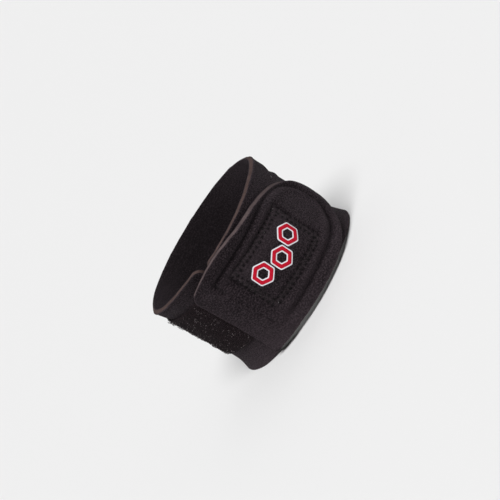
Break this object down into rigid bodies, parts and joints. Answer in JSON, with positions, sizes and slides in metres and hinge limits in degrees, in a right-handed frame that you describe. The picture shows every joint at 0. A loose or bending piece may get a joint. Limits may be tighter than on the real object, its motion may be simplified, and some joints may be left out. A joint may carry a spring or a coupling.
{
  "type": "forearm support",
  "caption": "Padded band worn round the forearm below the elbow, closed in front by a stitched flap that grips hook tape.",
  "frame": {"origin": "on the floor under the middle of the whole support's outline", "axes": "+Z along the forearm from the wrist side to the elbow side, -Y through the closing flap in front, +X towards the flap's round end"},
  "size_m": [0.104, 0.098, 0.0661],
  "materials": {
    "band_cloth": "smooth knit face on a brown-grey foam core",
    "flap_cloth": "smooth knit face on a brown-grey foam core",
    "hook_tape": "rough, dark, hooked",
    "badge_print": "satin, raised transfer print"
  },
  "bodies": {
    "root": {"band": "band_cloth", "hook_tape": "hook_tape", "closing_flap": "flap_cloth", "badge_ring_1": "badge_print", "badge_ring_2": "badge_print", "badge_ring_3": "badge_print"}
  },
  "joints": []
}
